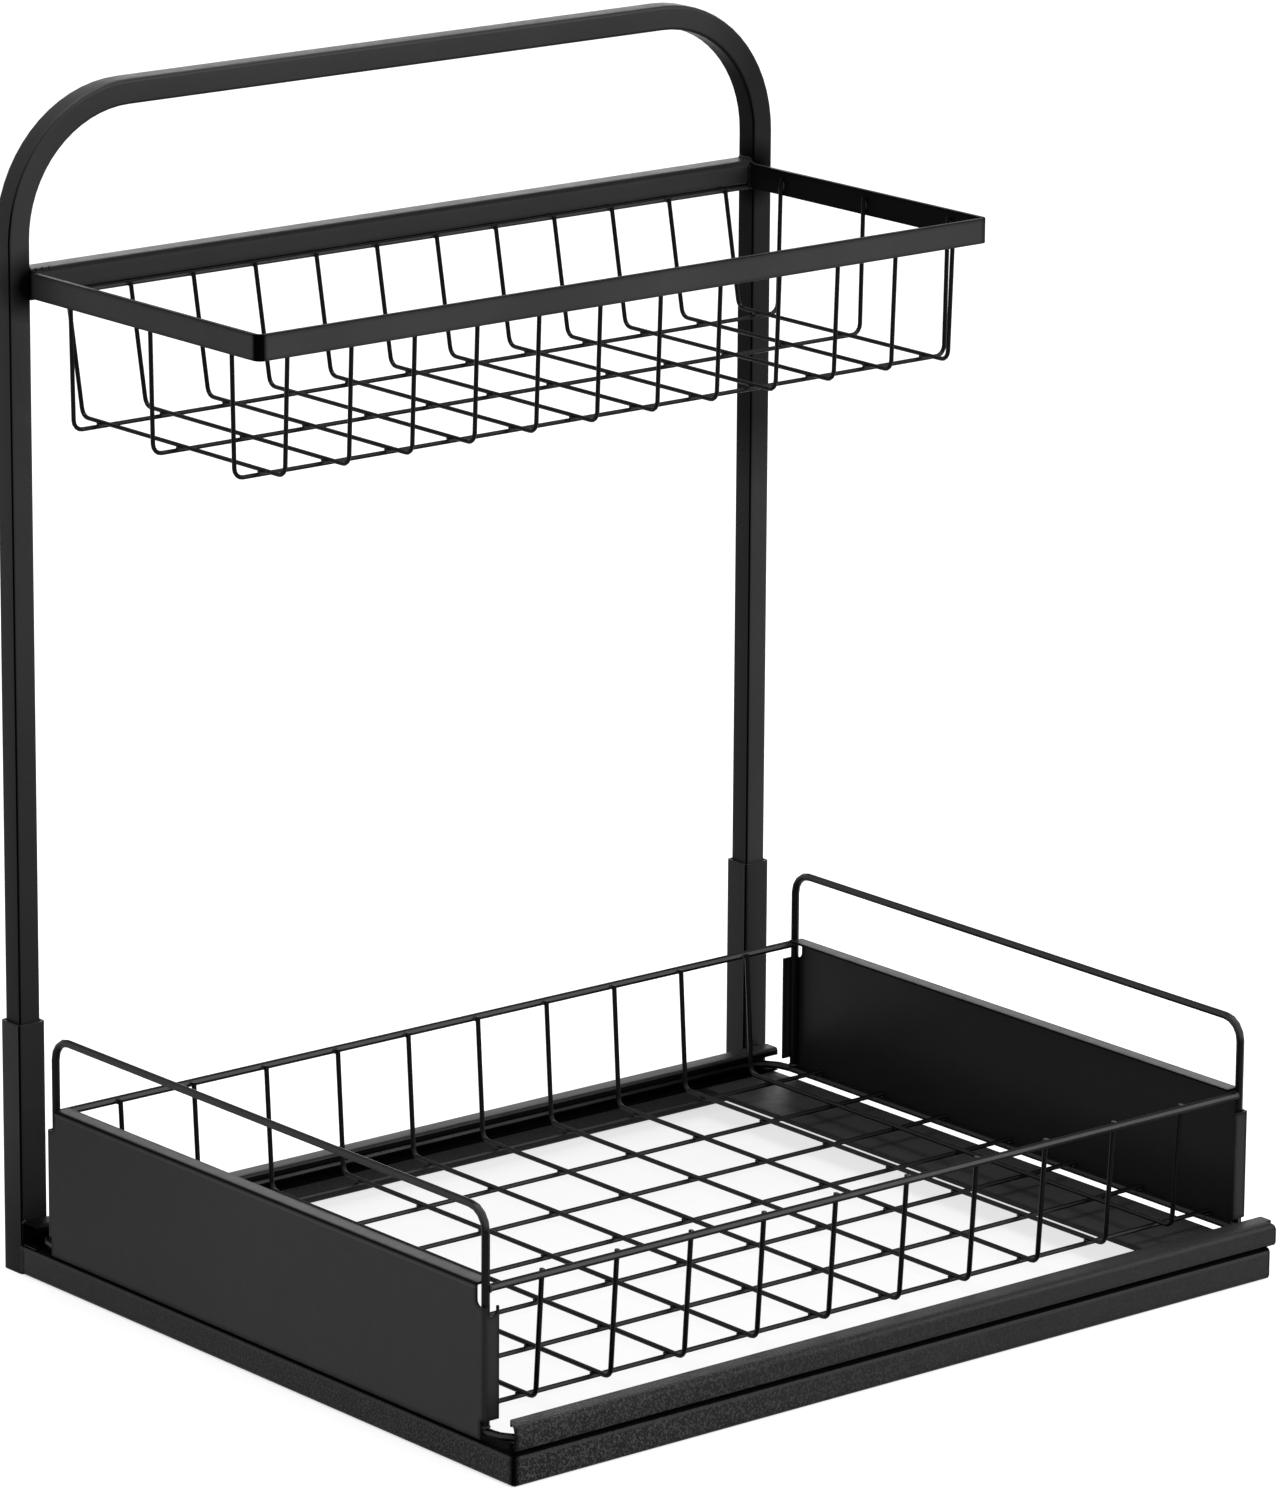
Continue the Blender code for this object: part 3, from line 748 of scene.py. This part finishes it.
def bar_dashes(bm):
    """Three short beads along the rear bar's upper front edge, beside the left upright."""
    starts, length, radius = (0.0015, 0.0045, 0.0078), 0.0020, 0.0008
    y, z = bar_low.y + 0.0006, bar_high.z - 0.0004
    for start in starts:
        x = bar_low.x + start
        bead(bm, (x, y, z), (x + length, y, z), radius)


def frame_beads():
    bm = bmesh.new()
    for side in (-1, 1):
        bar_beads(bm, side)
        rim_beads(bm, side)
        sleeve_bead(bm, side)
    rail_beads(bm)
    mitre_beads(bm)
    bar_dashes(bm)
    finish_piece("frame_weld_beads", bm, "frame")


def rail_spatter():
    """Ragged threads of weld metal where the rear rail's left end meets the tube and the sleeve."""
    threads, pitch, sides = 12, 0.0009, 6
    lowest = tube_high.z - 0.0002
    # The runner ring passes through the rail, so the threads lie behind the rail or under it:
    # how far before the sleeve and above the tube each kind starts, and how far it may climb.
    kinds = (
        ((0.0001, 0.0005), (0.0005, 0.0045), 0.0022),
        ((0.0007, 0.0045), (-0.0002, 0.0005), 0),
    )
    starts, runs, radii = (0.0012, 0.0075), (-0.001, 0.002), (0.00025, 0.0004)
    bm = bmesh.new()
    for k in range(threads):
        before, above, climb = kinds[k % 2]
        y = sleeve_low.y - draw.uniform(*before)
        z = tube_high.z + draw.uniform(*above)
        start = Vector((sleeve_low.x + draw.uniform(*starts), y, z))
        run = draw.uniform(*runs)
        end = start + Vector((run, 0, draw.uniform(-climb, climb) if climb else 0))
        end.z = max(end.z, lowest)
        bead(bm, start, end, draw.uniform(*radii), pitch, sides)
    finish_piece("rail_spatter", bm, "frame", spatter_coat)


def rear_seam():
    """The weld along the rear bar's lower edge, where the thin wire lies."""
    radius, pitch, sides = 0.00055, 0.0030, 6
    inset, back = 0.0004, 0.0009
    bm = bmesh.new()
    seam = (bar_low.y + back, (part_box("basket_rear_wire")[1].z + bar_low.z) / 2)
    bead(bm, (bar_low.x + inset, *seam), (bar_high.x - inset, *seam), radius, pitch, sides)
    finish_piece("basket_seam", bm, "frame", wire_coat)


basket_spots()
drawer_spots()
base_fillers()
frame_beads()
rail_spatter()
rear_seam()


# Floor, light and camera

floor_half_size = 30
# The nearest and the furthest that the camera sees.
camera_reach = (0.05, 100)
# The part of the floor that the base frame goes round.
inside_half_width = 0.18
inside_half_depth = 0.15

# Each light's name, its place, what it looks at, its width and height, and its power.
lights = (
    ("overhead", (0.0, 0.0, 2.6), (0, 0, 0.2), (1.3, 1.3), 68),
    ("front_right", (1.6, -2.4, 1.4), (0, 0, 0.3), (1.6, 1.6), 85),
    ("behind", (1.9, 2.3, 1.0), (0, 0, 0.2), (2.2, 1.2), 9),
)


def floor_white():
    """White acrylic lit from below. Inside the base frame it glows more and scatters less light,
    painted light that keeps the rack's shadow there faint.
    """
    glow, border_start, vein_size = 0.745, 0.9, 0.4
    g = Graph("pale_floor")
    place = g.place()
    g.shader.inputs["Roughness"].default_value = 0.9
    g.shader.inputs["Specular IOR Level"].default_value = 0.0
    across = g.size_of(g.math("MULTIPLY", g.part_of(place, "X"), 1 / inside_half_width))
    along = g.size_of(g.math("MULTIPLY", g.part_of(place, "Y"), 1 / inside_half_depth))
    outside = g.spread(g.math("MAXIMUM", across, along), border_start, 1.0, 0.0, 1.0)
    inside = g.math("SUBTRACT", 1.0, outside)
    veined = g.tones(g.noise(place, vein_size), grey(0.33), grey(0.35))
    g.join(g.blend(inside, veined, grey(0.12)), g.shader.inputs["Base Color"])
    g.join(g.tones(outside, grey(1), grey(0.86)), g.shader.inputs["Emission Color"])
    g.shader.inputs["Emission Strength"].default_value = glow
    return g.material


def pale_floor():
    bm = bmesh.new()
    bmesh.ops.create_grid(bm, x_segments=4, y_segments=4, size=floor_half_size)
    mesh = bpy.data.meshes.new("floor")
    bm.to_mesh(mesh)
    bm.free()
    mesh.materials.append(floor_white())
    floor = bpy.data.objects.new("floor", mesh)
    bpy.context.scene.collection.objects.link(floor)


def soft_box(name, place, target, size, power):
    light = bpy.data.lights.new(name, "AREA")
    light.shape = "RECTANGLE"
    light.size, light.size_y = size
    light.energy = power
    lamp = bpy.data.objects.new(name, light)
    lamp.location = place
    lamp.rotation_euler = (Vector(target) - Vector(place)).to_track_quat("-Z", "Y").to_euler()
    bpy.context.scene.collection.objects.link(lamp)


def studio():
    world = bpy.data.worlds.new("studio")
    world.use_nodes = True
    world.node_tree.nodes["Background"].inputs["Color"].default_value = (1, 1, 1, 1)
    world.node_tree.nodes["Background"].inputs["Strength"].default_value = 1.0
    bpy.context.scene.world = world
    for light in lights:
        soft_box(*light)
    bpy.context.scene.view_settings.view_transform = "Standard"


def camera():
    """The photograph's view: a turn about Z, a tilt down and a small roll."""
    data = bpy.data.cameras.new("camera")
    data.sensor_width = sensor
    data.lens = focal_length / picture_long_side * sensor
    data.clip_start, data.clip_end = camera_reach
    ahead = Vector((
        math.sin(camera_turn) * math.cos(camera_tilt),
        math.cos(camera_turn) * math.cos(camera_tilt),
        -math.sin(camera_tilt),
    ))
    right = Vector((math.cos(camera_turn), -math.sin(camera_turn), 0))
    up = right.cross(ahead)
    right, up = (
        right * math.cos(camera_roll) - up * math.sin(camera_roll),
        up * math.cos(camera_roll) + right * math.sin(camera_roll),
    )
    made = bpy.data.objects.new("camera", data)
    turned = Matrix((right, up, -ahead)).transposed().to_4x4()
    made.matrix_world = Matrix.Translation(camera_place) @ turned
    bpy.context.scene.collection.objects.link(made)
    bpy.context.scene.camera = made


pale_floor()
studio()
camera()
